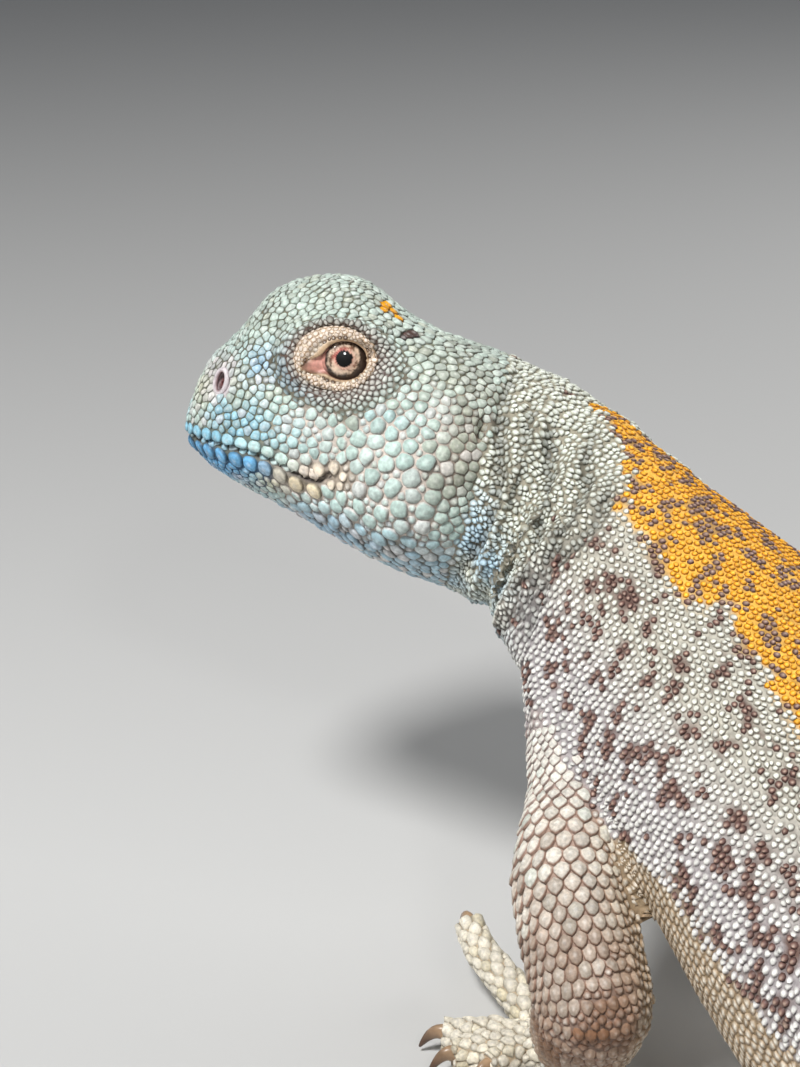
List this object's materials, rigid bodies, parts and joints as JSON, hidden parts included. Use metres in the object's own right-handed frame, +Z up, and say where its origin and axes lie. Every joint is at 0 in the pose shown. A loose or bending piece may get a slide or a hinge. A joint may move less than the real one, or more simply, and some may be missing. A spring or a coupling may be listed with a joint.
{
  "type": "uromastyx lizard model",
  "caption": "Still life-size model of a uromastyx lizard with its chest raised on its front legs, head turned aside and a ringed spiny tail.",
  "frame": {"origin": "middle of the model's box, on the floor it rests on", "axes": "+X towards the tail, +Z up, the animal's left side towards -Y"},
  "size_m": [0.3088, 0.1571, 0.0861],
  "materials": {
    "head_skin": "scaly painted skin, grey-green and pale blue",
    "neck_skin": "finely scaled painted skin, grey-green",
    "torso_skin": "finely scaled painted skin, orange back and pale spotted flanks",
    "limb_skin": "keeled scales, cream and brown",
    "tail_skin": "rings of spiny scales, tan and brown",
    "claw": "satin dark horn",
    "eye": "glossy golden-brown iris with a black pupil"
  },
  "bodies": {
    "root": {"head": "head_skin", "eye_l": "eye", "eye_r": "eye", "neck": "neck_skin", "torso": "torso_skin", "tail_root": "tail_skin", "tail_middle": "tail_skin", "tail_tip": "tail_skin", "arm_l_upper": "limb_skin", "arm_l_lower": "limb_skin", "arm_l_foot": "limb_skin", "arm_l_foot_claw_1": "claw", "arm_l_foot_claw_2": "claw", "arm_l_foot_claw_3": "claw", "arm_l_foot_claw_4": "claw", "arm_l_foot_claw_5": "claw", "arm_r_upper": "limb_skin", "arm_r_lower": "limb_skin", "arm_r_foot": "limb_skin", "arm_r_foot_claw_1": "claw", "arm_r_foot_claw_2": "claw", "arm_r_foot_claw_3": "claw", "arm_r_foot_claw_4": "claw", "arm_r_foot_claw_5": "claw", "leg_l_upper": "limb_skin", "leg_l_lower": "limb_skin", "leg_l_foot": "limb_skin", "leg_l_foot_claw_1": "claw", "leg_l_foot_claw_2": "claw", "leg_l_foot_claw_3": "claw", "leg_l_foot_claw_4": "claw", "leg_l_foot_claw_5": "claw", "leg_r_upper": "limb_skin", "leg_r_lower": "limb_skin", "leg_r_foot": "limb_skin", "leg_r_foot_claw_1": "claw", "leg_r_foot_claw_2": "claw", "leg_r_foot_claw_3": "claw", "leg_r_foot_claw_4": "claw", "leg_r_foot_claw_5": "claw"}
  },
  "joints": []
}
